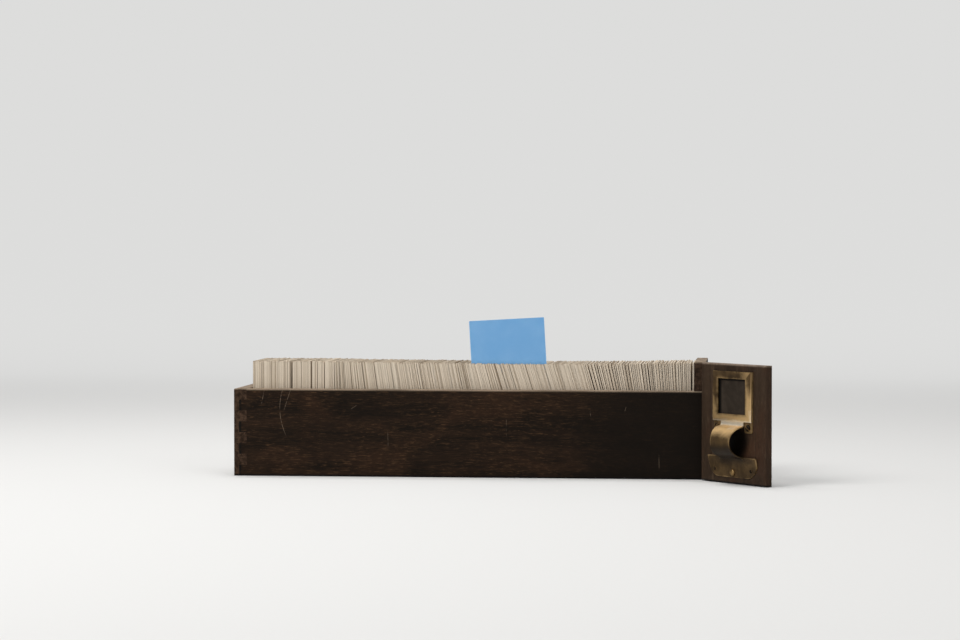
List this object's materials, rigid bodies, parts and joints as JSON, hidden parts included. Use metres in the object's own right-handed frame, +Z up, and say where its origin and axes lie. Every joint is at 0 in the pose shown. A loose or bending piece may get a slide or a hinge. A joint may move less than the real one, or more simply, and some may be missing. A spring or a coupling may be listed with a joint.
{
  "type": "index card drawer",
  "caption": "Long narrow hardwood tray of upright index cards, box-jointed at its corners, with a hinged tall front that carries a brass label holder and finger pull.",
  "frame": {"origin": "centre of the underside of the box, on the surface it stands on", "axes": "+X from the back board to the front end, +Y away from the side seen in the picture, +Z up; the front panel is stored swung open, as pictured"},
  "size_m": [0.5283, 0.1808, 0.157],
  "materials": {
    "stained_walnut": "worn dark stain and old oil finish",
    "front_wood": "worn dark stain, vertical grain",
    "plain_wood": "bare inside, stained below",
    "aged_brass": "tarnished, rubbed bright on its edges",
    "dark_steel": "dull dark steel",
    "cream_card_stock": "matt uncoated card",
    "blue_card_stock": "matt uncoated card",
    "aged_label_paper": "aged blank label"
  },
  "bodies": {
    "box": {"back_board": "stained_walnut", "bottom_board": "plain_wood", "bottom_brads": "dark_steel", "far_side": "stained_walnut", "hinge_screws_box": "dark_steel", "index_cards_02": "cream_card_stock", "index_cards_03": "cream_card_stock", "index_cards_04": "cream_card_stock", "index_cards_05": "cream_card_stock", "index_cards_06": "cream_card_stock", "index_cards_07": "cream_card_stock", "index_cards_08": "cream_card_stock", "index_cards_09": "cream_card_stock", "index_cards_10": "cream_card_stock", "inner_front_board": "stained_walnut", "lower_hinge_box_leaf": "dark_steel", "lower_hinge_pin": "dark_steel", "near_side": "stained_walnut", "upper_hinge_box_leaf": "dark_steel", "upper_hinge_pin": "dark_steel"},
    "front": {"front_panel": "front_wood", "hinge_screws_panel": "dark_steel", "label_holder_pull": "aged_brass", "lower_hinge_panel_leaf": "dark_steel", "pull_nails": "aged_brass", "pull_screws": "aged_brass", "upper_hinge_panel_leaf": "dark_steel"},
    "label": {"label_card": "aged_label_paper"},
    "blue_card": {"blue_card": "blue_card_stock"},
    "loose_cards": {"index_cards_01": "cream_card_stock"}
  },
  "joints": [
    {"name": "front_hinge", "type": "hinge", "parent": "box", "child": "front", "pos_m": [0.2323, -0.0514, 0.057], "axis": [0, 0, 1], "range_deg": [-40, 140]},
    {"name": "label_slide", "type": "slide", "parent": "front", "child": "label", "axis": [0, 0, 1], "range_m": [0, 0.05]},
    {"name": "blue_card_lift", "type": "slide", "parent": "box", "child": "blue_card", "axis": [0, 0, 1], "range_m": [0, 0.06]},
    {"name": "loose_cards_lift", "type": "slide", "parent": "box", "child": "loose_cards", "axis": [0, 0, 1], "range_m": [0, 0.11]}
  ]
}
